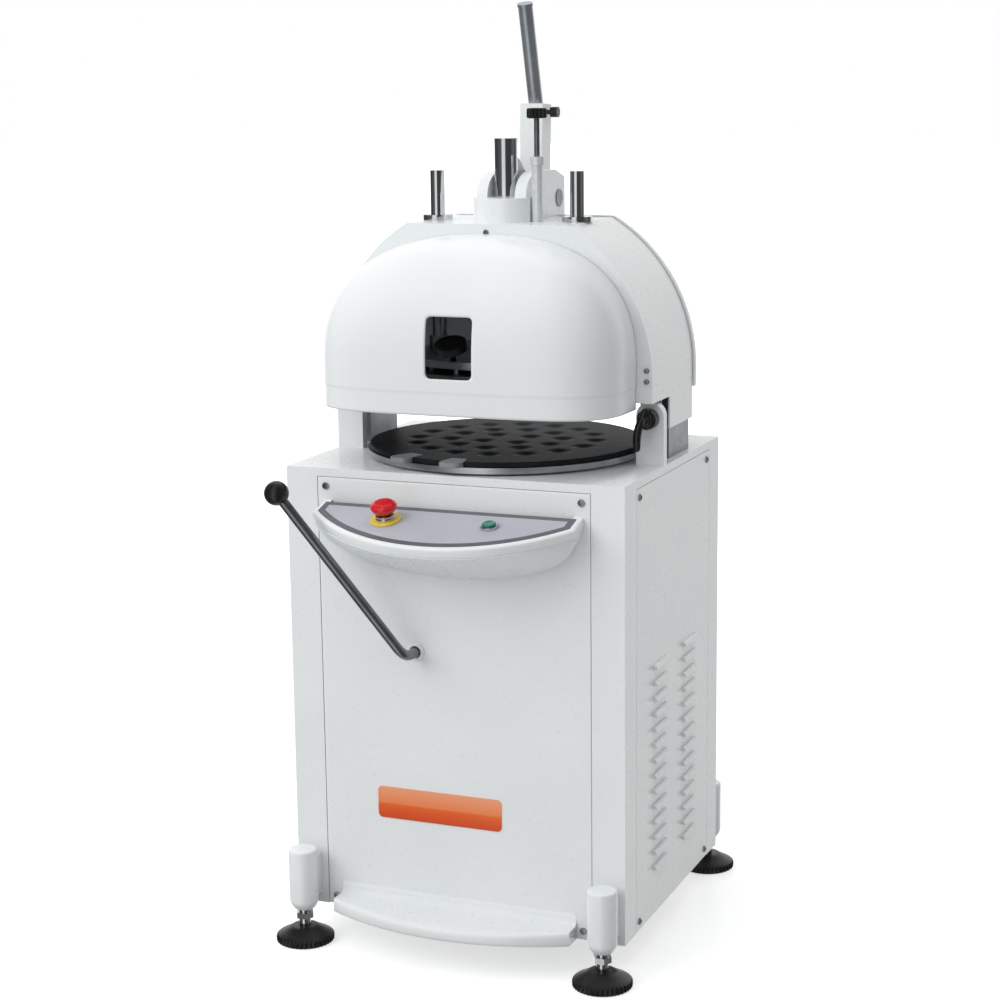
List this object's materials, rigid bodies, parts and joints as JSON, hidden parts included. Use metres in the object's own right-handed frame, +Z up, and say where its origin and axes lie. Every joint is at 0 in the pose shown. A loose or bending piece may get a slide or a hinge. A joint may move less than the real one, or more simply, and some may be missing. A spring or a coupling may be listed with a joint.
{
  "type": "divider rounder",
  "caption": "Floor-standing bakery divider rounder: white cabinet with front console, orbiting moulding table, domed press head, knife set and long hand lever.",
  "frame": {"origin": "on the floor, under the middle of the whole outline", "axes": "+Z up, +X to the right seen from the front, -Y to the front where the console and window are"},
  "size_m": [0.6454, 0.735, 1.5874],
  "materials": {
    "paint_white": "gloss white enamel",
    "plastic_white": "gloss white moulded cover",
    "membrane_dark": "satin membrane border",
    "membrane_grey": "satin membrane",
    "steel": "machined",
    "steel_dark": "darkened",
    "chrome": "polished",
    "aluminium": "machined",
    "iron": "as cast",
    "rubber_black": "matte",
    "plastic_black": "satin black",
    "plastic_dark": "dark moulding plate",
    "plastic_red": "gloss",
    "plastic_yellow": "gloss",
    "plastic_green": "gloss",
    "plastic_grey": "matte",
    "enamel_orange": "gloss, left blank",
    "paint_blue": "machine paint",
    "tube_grey": "satin"
  },
  "bodies": {
    "base": {"cabinet_frame": "paint_white", "top_plate": "paint_white", "front_panel": "paint_white", "console_shell": "paint_white", "console_border": "membrane_dark", "console_field": "membrane_grey", "side_panels": "paint_white", "back_panel": "paint_white", "panel_screws": "steel", "leg_sockets": "paint_white", "foot_spindles": "chrome", "foot_pads": "rubber_black", "nameplate": "enamel_orange", "lever_bush": "plastic_black", "stop_collar": "plastic_yellow", "start_bezel": "chrome", "switch_boxes": "plastic_grey", "front_posts": "paint_white", "hinge_plates": "steel_dark", "bed_plate": "steel", "bearing_housings": "iron", "motor": "paint_blue", "motor_mount": "iron", "drive_belt": "rubber_black", "limit_switch": "plastic_grey"},
    "stop_button": {"stop_button": "plastic_red"},
    "start_button": {"start_button": "plastic_green"},
    "rounding_lever": {"rounding_lever": "steel_dark", "lever_knob": "plastic_black"},
    "head_clamp": {"head_clamp": "plastic_black"},
    "drive_shaft": {"eccentric_shaft": "steel", "driven_pulley": "iron"},
    "table": {"table_disc": "aluminium"},
    "moulding_plate": {"moulding_plate": "plastic_dark"},
    "motor_rotor": {"motor_pulley": "iron"},
    "idler_left": {"idler_crank_left": "steel"},
    "idler_right": {"idler_crank_right": "steel"},
    "head": {"head_frame": "iron", "head_shell": "paint_white", "head_band": "paint_white", "hood": "plastic_white", "rear_cover": "plastic_white", "lever_bracket": "paint_white", "guide_bushes": "chrome", "stop_sleeve": "chrome", "cover_screws": "steel_dark", "return_springs": "steel"},
    "press_lever": {"lever_arm": "paint_white", "lever_sector": "steel", "pivot_shaft": "steel_dark", "lever_tube": "tube_grey"},
    "socket_knob": {"socket_knob": "plastic_black"},
    "press": {"ram": "chrome", "guide_columns": "chrome", "press_crown": "aluminium", "press_pads": "aluminium", "stop_rod": "steel_dark"},
    "stop_knob": {"stop_knob": "plastic_black"},
    "knives": {"knife_set": "steel"},
    "release_knob": {"release_knob": "plastic_black"}
  },
  "joints": [
    {"name": "stop_press", "type": "slide", "parent": "base", "child": "stop_button", "axis": [0, 0.2689, -0.9632], "range_m": [0, 0.004]},
    {"name": "start_press", "type": "slide", "parent": "base", "child": "start_button", "axis": [0, 0.2689, -0.9632], "range_m": [0, 0.003], "stiffness_N_per_m": 600, "springref_m": -0.005},
    {"name": "rounding_lever_swing", "type": "hinge", "parent": "base", "child": "rounding_lever", "pos_m": [-0.067, -0.2285, 0.525], "axis": [0, -1, 0], "range_deg": [0, 50], "stiffness_Nm_per_rad": 4, "springref_deg": -34.38},
    {"name": "clamp_turn", "type": "hinge", "parent": "base", "child": "head_clamp", "pos_m": [0.276, -0.033, 0.905], "axis": [0, -1, 0], "range_deg": [0, 120]},
    {"name": "drive_spin", "type": "hinge", "parent": "base", "child": "drive_shaft", "pos_m": [0, 0.027, 0.7], "axis": [0, 0, 1], "continuous": true},
    {"name": "table_orbit", "type": "hinge", "parent": "drive_shaft", "child": "table", "pos_m": [0, 0.017, 0.8], "axis": [0, 0, 1], "continuous": true},
    {"name": "motor_spin", "type": "hinge", "parent": "base", "child": "motor_rotor", "pos_m": [0, 0.192, 0.6], "axis": [0, 0, 1], "continuous": true},
    {"name": "idler_left_spin", "type": "hinge", "parent": "base", "child": "idler_left", "pos_m": [-0.14, 0.077, 0.74], "axis": [0, 0, 1], "continuous": true},
    {"name": "idler_right_spin", "type": "hinge", "parent": "base", "child": "idler_right", "pos_m": [0.14, 0.077, 0.74], "axis": [0, 0, 1], "continuous": true},
    {"name": "plate_slide", "type": "slide", "parent": "table", "child": "moulding_plate", "axis": [0, -1, 0], "range_m": [0, 0.5]},
    {"name": "head_tilt", "type": "hinge", "parent": "base", "child": "head", "pos_m": [0, 0.124, 0.905], "axis": [1, 0, 0], "range_deg": [-35, 0]},
    {"name": "press_slide", "type": "slide", "parent": "head", "child": "press", "axis": [0, 0, -1], "range_m": [0, 0.06], "stiffness_N_per_m": 1500, "springref_m": -0.3, "deforming": ["return_springs"]},
    {"name": "lever_pull", "type": "hinge", "parent": "head", "child": "press_lever", "pos_m": [0, 0.157, 1.2535], "axis": [1, 0, 0], "range_deg": [0, 29.2]},
    {"name": "socket_knob_turn", "type": "hinge", "parent": "press_lever", "child": "socket_knob", "pos_m": [0.02, 0.16683, 1.4002], "axis": [1, 0, 0], "range_deg": [0, 180]},
    {"name": "stop_knob_turn", "type": "hinge", "parent": "press", "child": "stop_knob", "pos_m": [0.062, 0.012, 1.4], "axis": [0, 0, 1], "range_deg": [-180, 180]},
    {"name": "knife_slide", "type": "slide", "parent": "press", "child": "knives", "axis": [0, 0, -1], "range_m": [0, 0.016], "stiffness_N_per_m": 4000, "springref_m": -0.05},
    {"name": "release_turn", "type": "hinge", "parent": "press", "child": "release_knob", "pos_m": [-0.038, -0.121, 1], "axis": [0, -0.3746, 0.9272], "range_deg": [0, 90]}
  ],
  "couplings": [
    {"joint": "table_orbit", "follows": "drive_spin", "ratio": -1},
    {"joint": "idler_left_spin", "follows": "drive_spin", "ratio": 1},
    {"joint": "idler_right_spin", "follows": "drive_spin", "ratio": 1},
    {"joint": "motor_spin", "follows": "drive_spin", "ratio": 3},
    {"joint": "lever_pull", "follows": "press_slide", "rad_per_m": 8.4746}
  ]
}
